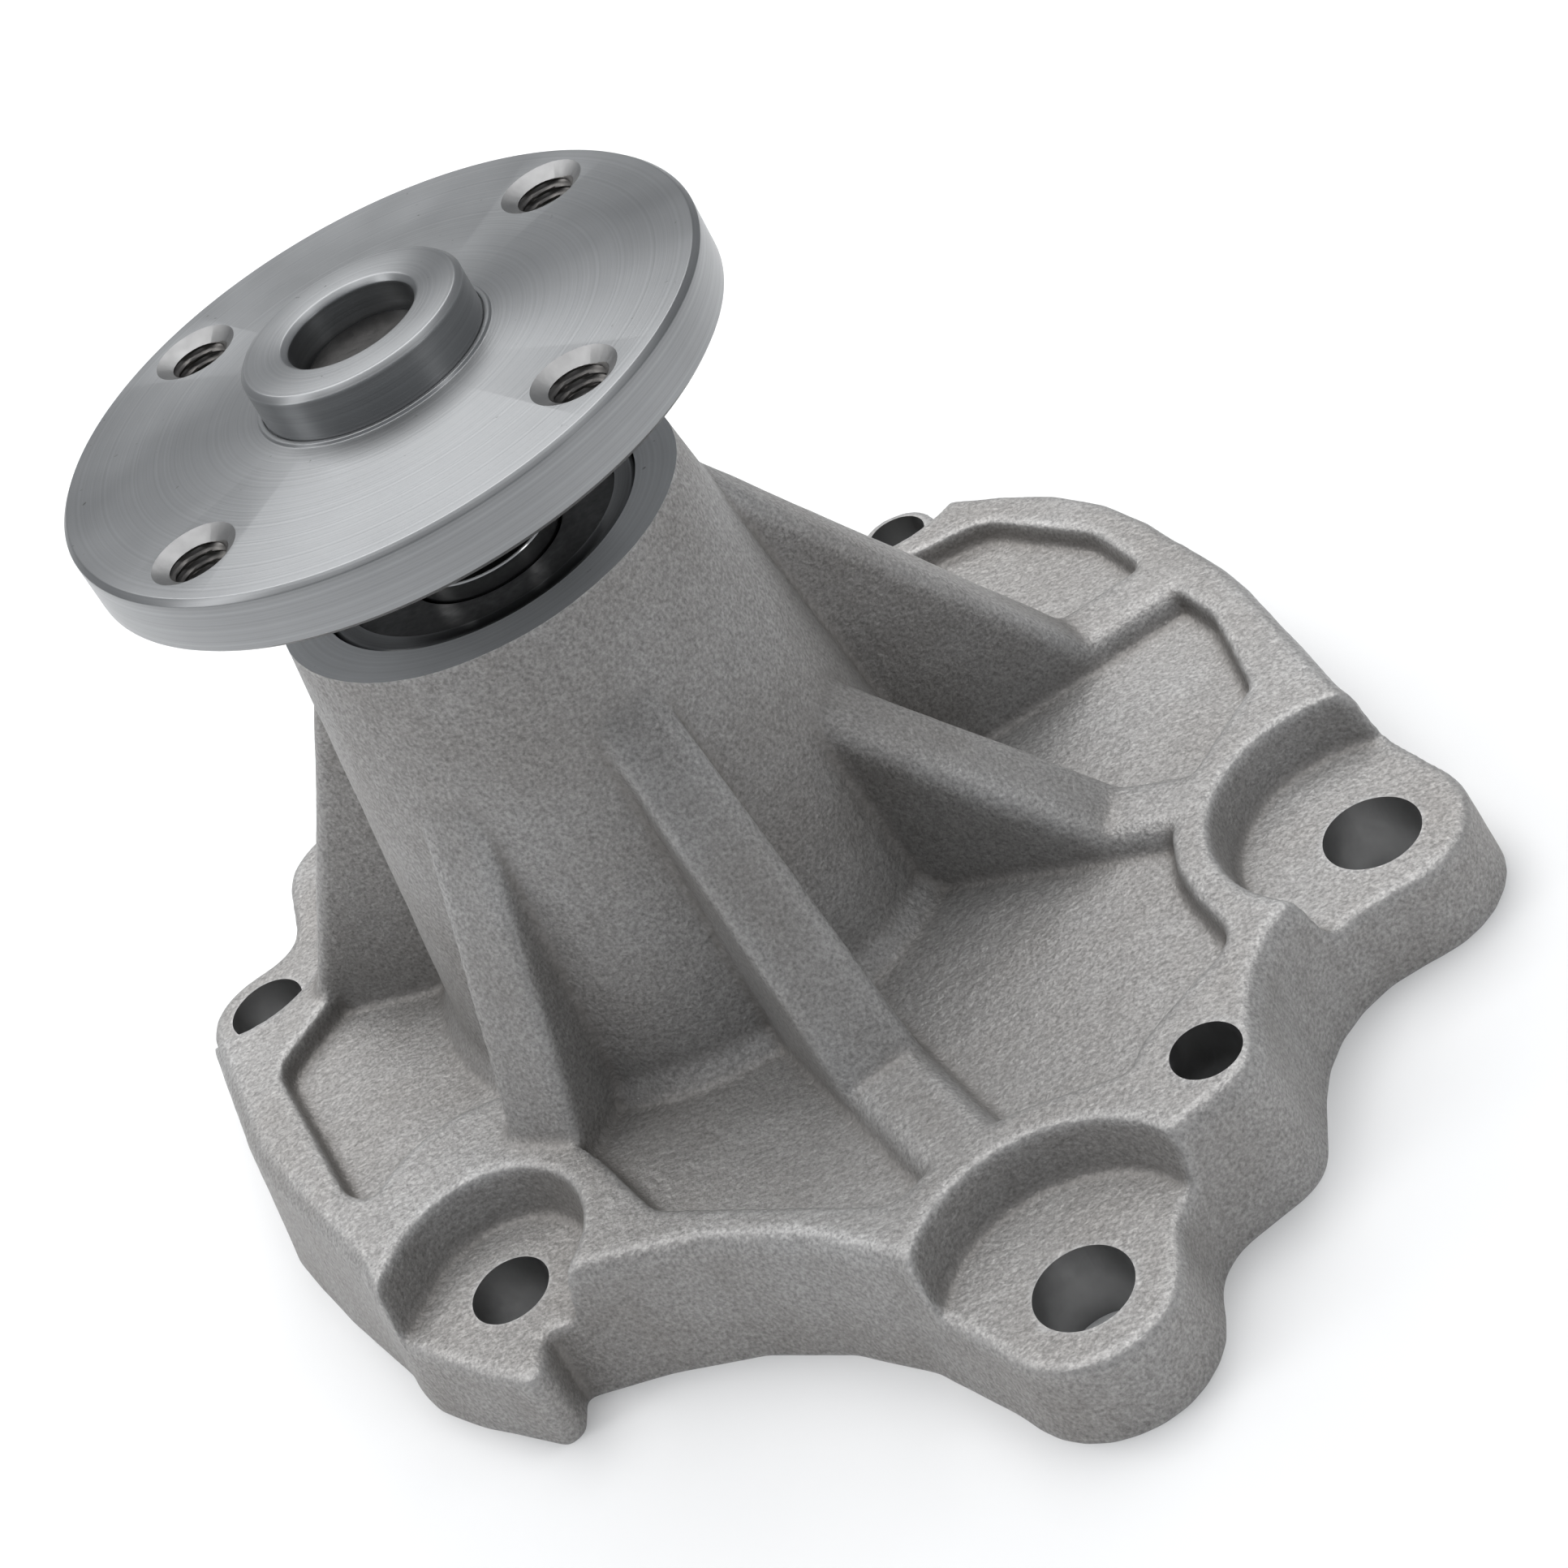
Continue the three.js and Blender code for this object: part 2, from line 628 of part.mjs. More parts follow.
const MATERIALS = {
  casting: material(0xa9a9a7, 0.62, 0.85),
  turnedSteel: material(0xb4b5b8, 0.28, 1),
  bearingSteel: material(0x55524e, 0.3, 1),
  polishedSteel: material(0xc9cbce, 0.12, 1),
  rubber: material(0x111113, 0.55, 0),
  polymer: material(0x3a3226, 0.5, 0),
  springSteel: material(0x9fa3a6, 0.3, 1),
  brass: material(0xb08d4a, 0.35, 1),
  carbon: material(0x1c1c1e, 0.4, 0),
  ceramic: material(0xe6e0d2, 0.25, 0),
  castIron: material(0x4c4a47, 0.6, 0.9),
};

function piece(name, shape, look) {
  const mesh = new THREE.Mesh(toGeometry(shape), MATERIALS[look]);
  mesh.name = name;
  return mesh;
}

function bearingRow(name, z) {
  const row = new THREE.Group();
  row.add(piece(`cage_${name}`, cage(z), 'polymer'));
  ballCentres(z).forEach((centre, i) => {
    const ball = solid(new THREE.SphereGeometry(BEARING.ball, 10, 6));
    const mesh = piece(`ball_${name}_${i + 1}`, ball, 'polishedSteel');
    mesh.position.set(...centre);
    row.add(mesh);
  });
  return row;
}

function placeOnBase(group) {
  const box = new THREE.Box2().setFromPoints(beltOutline(BASE_EDGE));
  const middle = box.getCenter(new THREE.Vector2());
  group.position.set(-middle.x, -middle.y, 0);
}

function waterPump() {
  const pump = new THREE.Group();
  pump.add(
    piece('housing', housing(), 'casting'),
    piece('bearing_outer_ring', outerRing(), 'bearingSteel'),
    piece('bearing_seal_front', bearingSeal(BEARING.top - BEARING.lipInset, 1), 'rubber'),
    piece('bearing_seal_rear', bearingSeal(BEARING.bottom + BEARING.lipInset, -1), 'rubber'),
    bearingRow('front', BEARING.rows[1]),
    bearingRow('rear', BEARING.rows[0]),
    piece('shaft', shaft(), 'polishedSteel'),
    piece('hub_flange', hub(), 'turnedSteel'),
    piece('slinger', slinger(), 'rubber'),
    piece('seal_case', sealCase(), 'brass'),
    piece('seal_bellows', sealBellows(), 'rubber'),
    piece('seal_spring', sealSpring(), 'springSteel'),
    piece('seal_carbon_ring', ring(CARBON.inner, CARBON.outer, CARBON.bottom, CARBON.top), 'carbon'),
    piece('seal_seat_ring', seatRing(), 'ceramic'),
    piece('seal_seat_cup', seatCup(), 'rubber'),
    piece('impeller', impeller(), 'castIron'),
  );
  placeOnBase(pump);
  return pump;
}

export default waterPump();
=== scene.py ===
"""Looks for the engine water pump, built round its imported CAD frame. Metres, +Z up."""
import json
import math

import bmesh
import bpy
from mathutils import Matrix, Vector, noise


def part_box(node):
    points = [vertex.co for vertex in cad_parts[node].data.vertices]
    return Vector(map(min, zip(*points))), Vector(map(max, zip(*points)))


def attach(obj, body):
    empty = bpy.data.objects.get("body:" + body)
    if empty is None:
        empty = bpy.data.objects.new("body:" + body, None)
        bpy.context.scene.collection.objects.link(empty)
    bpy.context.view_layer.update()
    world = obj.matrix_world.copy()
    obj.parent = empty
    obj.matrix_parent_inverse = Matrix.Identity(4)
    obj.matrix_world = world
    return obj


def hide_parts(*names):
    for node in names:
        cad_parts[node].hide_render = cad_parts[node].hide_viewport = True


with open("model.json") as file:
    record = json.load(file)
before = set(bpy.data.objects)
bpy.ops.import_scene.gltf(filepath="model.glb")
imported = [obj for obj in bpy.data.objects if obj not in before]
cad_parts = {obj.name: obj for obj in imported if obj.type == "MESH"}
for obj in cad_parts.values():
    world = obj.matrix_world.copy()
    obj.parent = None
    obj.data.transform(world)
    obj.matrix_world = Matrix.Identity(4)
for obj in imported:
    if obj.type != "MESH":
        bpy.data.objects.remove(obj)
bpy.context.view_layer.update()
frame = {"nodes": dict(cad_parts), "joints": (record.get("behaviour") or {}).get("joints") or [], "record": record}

MM = 0.001
GAP = 0.3 * MM                  # the frame's clearance between pieces
DEG = math.pi / 180

# ---------------------------------------------------------------- sizes read from the frame


def half_width(node):
    low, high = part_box(node)
    return (high.x - low.x) / 2


def bottom(node):
    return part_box(node)[0].z


def top(node):
    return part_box(node)[1].z


AXIS = Vector((*frame["joints"][0]["pos_m"][:2], 0))
SNOUT_Z = top("housing")
HUB_TOP = top("hub_flange")
BOSS_HEIGHT = 6.3 * MM
FACE_Z = HUB_TOP - BOSS_HEIGHT
HUB_RADIUS = half_width("hub_flange")
SEAT_RING_WIDTH = 3.85 * MM     # from the shaft to the outside of the seal's seat ring
SHAFT_RADIUS = half_width("seal_seat_ring") - SEAT_RING_WIDTH
RING_RADIUS = half_width("bearing_outer_ring")
SEAL_RADIUS = half_width("seal_case")


def mount(name):
    return next(Vector(m["pos_m"]) for m in frame["record"]["mounts"] if m["name"] == name)


def opening(name):
    low, high = next(o["box_m"] for o in frame["record"]["physics"]["openings"]
                     if o["name"] == name)
    return (Vector(low) + Vector(high)) / 2


SEAT_Z = mount("seat_front").z
HOLE_RADIUS = {                 # millimetres
    "front_left": 5.2, "front": 6.1, "right": 6.2, "back": 4.4, "back_left": 5.5, "left": 5.5,
}
RIM_Z = 18.8 * MM               # top of the rim round the base
DOWEL = {"mouth": 4.4 * MM, "through": 2.8 * MM, "ledge": RIM_Z - 8 * MM}

# ---------------------------------------------------------------- meshes


def new_object(name, verts, faces, material=None):
    mesh = bpy.data.meshes.new(name)
    mesh.from_pydata(verts, [], faces)
    mesh.validate()
    mesh.update()
    obj = bpy.data.objects.new(name, mesh)
    bpy.context.scene.collection.objects.link(obj)
    if material:
        mesh.materials.append(material)
    shade(mesh, sharp_from=35)
    return obj


def shade(mesh, sharp_from):
    """Smooth shading, with the edges that turn by more than sharp_from degrees kept sharp."""
    mesh.polygons.foreach_set("use_smooth", [True] * len(mesh.polygons))
    mesh.set_sharp_from_angle(angle=sharp_from * DEG)


def welded(mesh):
    """A copy of a CAD mesh whose triangles share their corners."""
    work = bmesh.new()
    work.from_mesh(mesh)
    bmesh.ops.remove_doubles(work, verts=work.verts, dist=0.001 * MM)
    copy = bpy.data.meshes.new(mesh.name + "_welded")
    work.to_mesh(copy)
    work.free()
    return copy


def applied(obj):
    """Makes the object's modifiers part of its mesh."""
    graph = bpy.context.evaluated_depsgraph_get()
    mesh = bpy.data.meshes.new_from_object(obj.evaluated_get(graph))
    obj.modifiers.clear()
    obj.data = mesh


def round_point(centre, radius, angle, z):
    return (centre.x + radius * math.cos(angle), centre.y + radius * math.sin(angle), z)


def lathe(name, profile, material=None, sides=192, centre=None):
    """A closed profile of (radius, z) turned about a vertical axis. Points on it are shared."""
    centre = centre or AXIS
    verts, rings = [], []
    for radius, z in profile:
        if radius == 0:
            rings.append([len(verts)] * sides)
            verts.append((centre.x, centre.y, z))
            continue
        rings.append(range(len(verts), len(verts) + sides))
        for i in range(sides):
            verts.append(round_point(centre, radius, 2 * math.pi * i / sides, z))
    faces = []
    for k, ring in enumerate(rings):
        following = rings[(k + 1) % len(rings)]
        for i in range(sides):
            j = (i + 1) % sides
            corners = [ring[i], ring[j], following[j], following[i]]
            unique = list(dict.fromkeys(corners))
            if len(unique) > 2:
                faces.append(unique)
    return new_object(name, verts, faces, material)


def outward(obj):
    """Turns a closed mesh's faces outwards."""
    mesh = obj.data
    volume = 0.0
    for polygon in mesh.polygons:
        corners = [mesh.vertices[i].co for i in polygon.vertices]
        for k in range(1, len(corners) - 1):
            volume += corners[0].dot(corners[k].cross(corners[k + 1]))
    if volume < 0:
        mesh.flip_normals()
    return obj


def finished(obj, body, node):
    """Hands a piece over in place of its CAD node."""
    outward(obj)
    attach(obj, body)
    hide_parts(node)
    return obj


def rounded_edge(points, radius, steps=4):
    """A profile with its corners rounded, all by one radius or each by its own in a list."""
    out = []
    count = len(points)
    for i, point in enumerate(points):
        size = radius[i] if isinstance(radius, (list, tuple)) else radius
        here = Vector(point)
        before = Vector(points[i - 1]) - here
        after = Vector(points[(i + 1) % count]) - here
        if size == 0 or point[0] == 0:
            out.append(tuple(here))
            continue
        reach = min(size, before.length * 0.45, after.length * 0.45)
        start = here + before.normalized() * reach
        end = here + after.normalized() * reach
        for k in range(steps + 1):
            t = k / steps
            out.append(tuple((1 - t) ** 2 * start + 2 * t * (1 - t) * here + t ** 2 * end))
    return out


def boolean(obj, cutter, operation="DIFFERENCE"):
    """Cuts or joins with a cutter, whose faces bring their own material."""
    modifier = obj.modifiers.new(operation, "BOOLEAN")
    modifier.object = cutter
    modifier.operation = operation
    modifier.solver = "MANIFOLD"
    modifier.material_mode = "TRANSFER"
    applied(obj)
    bpy.data.objects.remove(cutter)


def disc_cutter(centre, radius, low, high, material, sides=96):
    profile = [(0, low), (radius, low), (radius, high), (0, high)]
    return outward(lathe("cutter", profile, material, sides, Vector((centre.x, centre.y, 0))))


# ---------------------------------------------------------------- materials


class Nodes:
    """A small helper that adds and links shader nodes."""

    def __init__(self, name):
        self.material = bpy.data.materials.new(name)
        self.material.use_nodes = True
        self.tree = self.material.node_tree
        self.shader = self.tree.nodes["Principled BSDF"]

    def add(self, kind, inputs=None, **settings):
        node = self.tree.nodes.new("ShaderNode" + kind)
        for key, value in settings.items():
            setattr(node, key, value)
        for key, value in (inputs or {}).items():
            self.put(node.inputs[key], value)
        return node

    def put(self, socket, value):
        if isinstance(value, bpy.types.NodeSocket):
            self.tree.links.new(value, socket)
        else:
            socket.default_value = value

    def math(self, operation, a, b=0.0, clamp=False):
        node = self.add("Math", {0: a, 1: b}, operation=operation)
        node.use_clamp = clamp
        return node.outputs[0]

    def position(self):
        """Where a point is from the shaft's axis, in directions that turn with its piece."""
        where = self.add("TexCoord").outputs["Object"]
        return self.add("VectorMath", {0: where, 1: tuple(-AXIS)}, operation="ADD").outputs[0]

    def noise(self, vector, scale, detail=2.0, rough=0.5, **settings):
        inputs = {"Vector": vector, "Scale": scale, "Detail": detail, "Roughness": rough}
        return self.add("TexNoise", inputs, **settings).outputs["Fac"]

    def ramp(self, factor, stops):
        node = self.add("ValToRGB", {"Fac": factor})
        elements = node.color_ramp.elements
        while len(elements) < len(stops):
            elements.new(0.5)
        for element, (place, colour) in zip(elements, stops):
            element.position = place
            element.color = (*colour, 1)
        return node.outputs["Color"]

    def levels(self, factor, low, high, to_low=0.0, to_high=1.0):
        inputs = {"Value": factor, "From Min": low, "From Max": high,
                  "To Min": to_low, "To Max": to_high}
        return self.add("MapRange", inputs).outputs["Result"]

    def mix(self, factor, a, b, blend="MIX"):
        node = self.add("Mix", data_type="RGBA", blend_type=blend)
        self.put(node.inputs["Factor"], factor)
        self.put(node.inputs[6], a if not isinstance(a, tuple) else (*a, 1))
        self.put(node.inputs[7], b if not isinstance(b, tuple) else (*b, 1))
        return node.outputs[2]

    def bump(self, height, strength, distance, normal=None):
        node = self.add("Bump", {"Height": height, "Strength": strength, "Distance": distance})
        if normal:
            self.put(node.inputs["Normal"], normal)
        return node.outputs["Normal"]

    def finish(self, **sockets):
        for key, value in sockets.items():
            self.put(self.shader.inputs[key.replace("_", " ")], value)
        return self.material


def grey(level, warmth=0.0):
    """A grey, with more red than blue in it when warmth is positive."""
    return (level * (1 + warmth), level, level * (1 - warmth))


def cast_aluminium():
    """Shot-blasted casting: a fine close grain, faint mottling, and hollows darkened with dirt and painted shade.
    """
    n = Nodes("cast_aluminium")
    where = n.position()
    grain = n.noise(where, 2100, 3.0, 0.6)
    pits = n.noise(where, 900, 2.0, 0.55)
    swell = n.noise(where, 120, 2.0, 0.5)
    blotch = n.noise(where, 38, 4.0, 0.6)
    tint = n.ramp(n.levels(blotch, 0.3, 0.72), [(0, grey(0.29, 0.04)), (1, grey(0.4, 0.012))])
    speckle = n.ramp(n.levels(grain, 0.28, 0.74), [(0, grey(0.52)), (1, grey(1.48))])
    colour = n.mix(0.75, tint, speckle, "MULTIPLY")
    # hollows darken towards a warm dark grey: partly dirt, partly painted shade where less light reaches
    hollow_dirt_and_shade = n.levels(n.add("NewGeometry").outputs["Pointiness"], 0.46, 0.51)
    colour = n.mix(n.math("SUBTRACT", 1.0, hollow_dirt_and_shade), colour, grey(0.2, 0.06))
    wear = n.levels(n.add("NewGeometry").outputs["Pointiness"], 0.51, 0.56)
    colour = n.mix(n.math("MULTIPLY", wear, 0.5), colour, grey(0.46, 0.01))
    height = n.math("ADD", n.math("MULTIPLY", grain, 0.45), pits)
    normal = n.bump(height, 0.7, 0.00028)
    normal = n.bump(swell, 0.25, 0.0006, normal)
    rough = n.levels(grain, 0.3, 0.7, 0.62, 0.5)
    return n.finish(Base_Color=colour, Metallic=0.62, Roughness=rough, Normal=normal)


COOL = -0.02                    # bare steel is slightly blue
ACROSS = 0.25                   # the quarter turn from along the tool marks to across them


def bare_steel(n, where, level):
    """Steel's colour in broad faint clouds, and the clouds themselves."""
    cloud = n.noise(where, 55, 3.0)
    shades = [(0, grey(level * 0.93, COOL)), (1, grey(level * 1.04, COOL))]
    return n.ramp(n.levels(cloud, 0.3, 0.7), shades), cloud


def tool_marks(n, along, pitch):
    """Random ridges, about pitch metres apart along a distance."""
    inputs = {"W": along, "Scale": 1 / pitch, "Detail": 2.0}
    return n.add("TexNoise", inputs, noise_dimensions="1D").outputs["Fac"]


def across_marks(n, anisotropy):
    """Spreads the light across tool marks that run round the shaft."""
    n.shader.inputs["Anisotropic"].default_value = anisotropy
    n.shader.inputs["Anisotropic Rotation"].default_value = ACROSS
    return n.add("Tangent", direction_type="RADIAL", axis="Z").outputs[0]


def turned_metal(name, level, rough, pitch=0.0004, strength=0.25, metallic=1.0, spin=0.75):
    """Face-turned metal: concentric tool marks that spread the light along the radius."""
    n = Nodes(name)
    where = n.position()
    flat = n.add("VectorMath", {0: where, 1: (1, 1, 0)}, operation="MULTIPLY").outputs[0]
    radius = n.add("VectorMath", {0: flat}, operation="LENGTH").outputs["Value"]
    ridges = tool_marks(n, radius, pitch)
    tint, cloud = bare_steel(n, where, level)
    fleck = n.noise(where, 700, 2.0)
    marks = n.ramp(n.levels(ridges, 0.25, 0.75), [(0, grey(0.86)), (1, grey(1.08))])
    colour = n.mix(0.6, tint, marks, "MULTIPLY")
    specks = n.levels(fleck, 0.2, 0.26)
    colour = n.mix(specks, grey(level * 0.4), colour)
    normal = n.bump(ridges, strength, 0.00006)
    gloss = n.levels(cloud, 0.3, 0.7, rough * 0.9, rough * 1.12)
    return n.finish(Base_Color=colour, Metallic=metallic, Roughness=gloss, Normal=normal,
                    Tangent=across_marks(n, spin))


def rim_metal(name, level, rough, pitch=0.0005):
    """The flange's edge: fine marks that run round it, one above another."""
    n = Nodes(name)
    where = n.position()
    height = n.add("SeparateXYZ", {0: where}).outputs["Z"]
    ridges = tool_marks(n, height, pitch)
    tint, _ = bare_steel(n, where, level)
    marks = n.ramp(n.levels(ridges, 0.25, 0.75), [(0, grey(0.8)), (1, grey(1.1))])
    colour = n.mix(0.7, tint, marks, "MULTIPLY")
    normal = n.bump(ridges, 0.35, 0.00006)
    return n.finish(Base_Color=colour, Metallic=1.0, Roughness=rough, Normal=normal,
                    Tangent=across_marks(n, 0.5))


def plain_metal(name, colour, rough, grain=0.3, scale=400, metallic=1.0):
    """An even surface with faint clouds and a fine random grain."""
    n = Nodes(name)
    where = n.position()
    speck = n.noise(where, scale, 4.0, 0.6)
    cloud = n.noise(where, 60, 3.0)
    clouding = n.ramp(n.levels(cloud, 0.3, 0.7), [(0, grey(0.85)), (1, grey(1.08))])
    tint = n.mix(1.0, colour, clouding, "MULTIPLY")
    normal = n.bump(speck, grain, 0.00012)
    gloss = n.levels(speck, 0.3, 0.7, rough * 0.85, rough * 1.2)
    return n.finish(Base_Color=tint, Metallic=metallic, Roughness=gloss, Normal=normal)


def moulded(name, colour, rough, grain=0.25, scale=900):
    return plain_metal(name, colour, rough, grain, scale, metallic=0.0)


CAST = cast_aluminium()
TURNED = turned_metal("turned_steel", 0.26, 0.37, spin=0.62)
RIM = rim_metal("turned_rim", 0.33, 0.36)
# near-black steel for the hub's neck: painted shade under the flange
NECK = plain_metal("painted_shade_neck_steel", grey(0.06, 0.03), 0.4)
MACHINED_END = turned_metal("machined_end", 0.6, 0.45, 0.00045, 0.35, metallic=0.4)
BORED = plain_metal("bored_aluminium", grey(0.33), 0.42, 0.4, 500)
MILLED = turned_metal("milled_aluminium", 0.55, 0.32, 0.0012, 0.2)
COUNTERSUNK = plain_metal("countersunk_steel", grey(0.2), 0.4)
THREAD = plain_metal("threaded_steel", grey(0.16, 0.04), 0.35)
BEARING = turned_metal("bearing_steel", 0.13, 0.3, 0.0003, 0.2)
POLISHED = plain_metal("polished_steel", grey(0.62), 0.14, 0.05)
# near-black steel for the shaft's end: painted shade at the bottom of the hub's bore
DARK_END = plain_metal("shaft_end_painted_shade", grey(0.06, 0.03), 0.45, 0.5, 700)
RUBBER = moulded("black_rubber", grey(0.014), 0.45)
POLYMER = moulded("cage_polymer", (0.055, 0.035, 0.02), 0.5)
SPRING = plain_metal("spring_wire", grey(0.5), 0.25, 0.15)
BRASS = plain_metal("brass", (0.56, 0.38, 0.14), 0.3, 0.15)
CARBON = moulded("carbon", grey(0.03), 0.35)
CERAMIC = moulded("ceramic", grey(0.72, 0.05), 0.2, 0.05)
IRON = plain_metal("cast_iron", grey(0.09, 0.04), 0.55, 0.8, 700)

CAD_LOOKS = {
    "bearing_outer_ring": BEARING, "bearing_seal_front": RUBBER, "bearing_seal_rear": RUBBER,
    "cage_front": POLYMER, "cage_rear": POLYMER, "shaft": POLISHED, "hub_flange": TURNED,
    "slinger": RUBBER, "seal_case": BRASS, "seal_bellows": RUBBER, "seal_spring": SPRING,
    "seal_carbon_ring": CARBON, "seal_seat_ring": CERAMIC, "seal_seat_cup": RUBBER,
    "impeller": IRON, "housing": CAST,
}


def dress_cad():
    """Every carried-over CAD node gets its procedural look."""
    for name, obj in frame["nodes"].items():
        look = CAD_LOOKS.get(name, POLISHED)
        obj.data.materials.clear()
        obj.data.materials.append(look)


# ---------------------------------------------------------------- housing

CHAMBER_Z = 11 * MM             # roof of the impeller chamber
FLUSH = 0.01 * MM               # a corner this near an end face lies on it
STRETCH = 6 * MM                # how far the machined ends run on before they are cut back
OVER = 50 * MM                  # a height that clears every lug
MILL_SIDE = 200 * MM            # half the side of the cutter that faces the base
FACER = 45 * MM                 # radius of the cutter that faces the snout
SWELLS = ((90, 0.12), (260, 0.05))      # how fine per metre, and millimetres high
VOXEL = 0.6 * MM
ROUNDS = 9                      # smoothing passes


def remeshed(obj, voxel, rounds, material):
    """The object as cast: drawn again in small cells, then smoothed."""
    remesh = obj.modifiers.new("remesh", "REMESH")
    remesh.mode = "VOXEL"
    remesh.voxel_size = voxel * 1
    smooth = obj.modifiers.new("smooth", "SMOOTH")
    smooth.factor = 0.5
    smooth.iterations = rounds // 1
    applied(obj)
    obj.data.materials.clear()
    obj.data.materials.append(material)
    shade(obj.data, sharp_from=40)
    return obj


def cast_blank():
    """The casting before machining: the CAD solid with its bores filled, its ends drawn out, and
    its corners rounded as cast corners are."""
    source = welded(frame["nodes"]["housing"].data)
    for vertex in source.vertices:
        if vertex.co.z < FLUSH:
            vertex.co.z -= STRETCH
        elif vertex.co.z > SNOUT_Z - FLUSH:
            vertex.co.z += STRETCH
    blank = bpy.data.objects.new("housing_casting", source)
    bpy.context.scene.collection.objects.link(blank)
    plugs = [disc_cutter(opening("bolt_hole_" + name), (radius + 1) * MM, -STRETCH, SEAT_Z, None)
             for name, radius in HOLE_RADIUS.items()]
    plugs.append(disc_cutter(opening("dowel_mouth"), DOWEL["mouth"] + MM, -STRETCH, RIM_Z, None))
    plugs.append(disc_cutter(AXIS, RING_RADIUS + 1.5 * MM, CHAMBER_Z, SNOUT_Z + STRETCH, None))
    for plug in plugs:
        boolean(blank, plug, "UNION")
    return remeshed(blank, VOXEL, ROUNDS, CAST)


def unevenness(mesh):
    """Casting skin: slow swells and shallow dents a few millimetres across."""
    normals = [vertex.normal.copy() for vertex in mesh.vertices]
    for vertex, normal in zip(mesh.vertices, normals):
        swell = sum(noise.noise(vertex.co * fine) * height * MM for fine, height in SWELLS)
        vertex.co += normal * swell


def bore_profile():
    """The bearing's bore, the drain chamber and the seal's bore, from the pieces that fill them."""
    ring_bottom = bottom("bearing_outer_ring") - GAP
    seal_bore = SEAL_RADIUS + GAP
    seal_top = top("seal_case") + GAP
    neck = 11 * MM
    web = 1.2 * MM
    start = CHAMBER_Z - 1.5 * MM
    return [
        (0, start),
        (seal_bore, start),
        (seal_bore, seal_top),
        (neck, seal_top),
        (neck, seal_top + web),
        (seal_bore, seal_top + web),
        (seal_bore, ring_bottom),
        (RING_RADIUS + GAP, ring_bottom),
        (RING_RADIUS + GAP, SNOUT_Z + 2 * STRETCH),
        (0, SNOUT_Z + 2 * STRETCH),
    ]


def box_cutter(low, high, material):
    xs, ys, zs = zip(low, high)
    verts = [(x, y, z) for z in zs for y in ys for x in xs]
    faces = [(0, 2, 3, 1), (4, 5, 7, 6), (0, 1, 5, 4), (2, 6, 7, 3), (0, 4, 6, 2), (1, 3, 7, 5)]
    return outward(new_object("cutter", verts, faces, material))


def housing():
    body = cast_blank()
    unevenness(body.data)
    side = MILL_SIDE
    boolean(body, box_cutter((-side, -side, -OVER), (side, side, 0), MILLED))
    boolean(body, disc_cutter(AXIS, FACER, SNOUT_Z, SNOUT_Z + 3 * STRETCH, MACHINED_END))
    boolean(body, outward(lathe("cutter", bore_profile(), BORED, 128)))
    for name, radius in HOLE_RADIUS.items():
        hole = opening("bolt_hole_" + name)
        boolean(body, disc_cutter(hole, radius * MM, -STRETCH, OVER, BORED, 64))
    dowel = opening("dowel_mouth")
    boolean(body, disc_cutter(dowel, DOWEL["mouth"], DOWEL["ledge"], OVER, BORED, 64))
    boolean(body, disc_cutter(dowel, DOWEL["through"], -STRETCH, OVER, BORED, 48))
    shade(body.data, sharp_from=40)
    finished(body, "housing", "housing")


# ---------------------------------------------------------------- hub

HUB = {                         # radii, and the sizes of its edges and of the bead on its face
    "thickness": 7.9 * MM, "neck": 13.5 * MM, "boss": 14.5 * MM, "edge": 0.7 * MM,
    "bead": 15.4 * MM, "bead_width": 0.75 * MM, "bead_height": 0.42 * MM,
}
SCREW_HOLES = 4
SCREW = {                       # an M8 hole: radii, slope of the countersink, thread
    "minor": 3.4 * MM, "countersink": 5.4 * MM, "slope": 0.6,
    "pitch": 1.25 * MM, "thread": 0.6 * MM,
}
HUB_BACK = FACE_Z - HUB["thickness"]


def thread_cutter(centre, minor, low, high, pitch, depth):
    """A rod whose wall is an internal screw thread."""
    sides, per_turn = 32, 8
    rows = int((high - low) / pitch * per_turn)
    verts = []
    for row in range(rows + 1):
        z = low + (high - low) * row / rows
        for i in range(sides):
            phase = (z / pitch - i / sides) % 1
            ridge = 1 - abs(2 * phase - 1)
            radius = minor + depth * min(1, max(0, 1.25 * ridge - 0.1))
            verts.append(round_point(centre, radius, 2 * math.pi * i / sides, z))
    faces = []
    for row in range(rows):
        for i in range(sides):
            j = (i + 1) % sides
            a, b = row * sides, (row + 1) * sides
            faces.append((a + i, a + j, b + j, b + i))
    faces.append(tuple(reversed(range(sides))))
    faces.append(tuple(range(rows * sides, (rows + 1) * sides)))
    return outward(new_object("cutter", verts, faces, THREAD))


def countersink_cutter(centre, minor, wide, depth, material):
    over = 1 * MM
    profile = [(0, FACE_Z - depth), (minor, FACE_Z - depth), (wide, FACE_Z),
               (wide, FACE_Z + over), (0, FACE_Z + over)]
    return outward(lathe("cutter", profile, material, 64, centre))


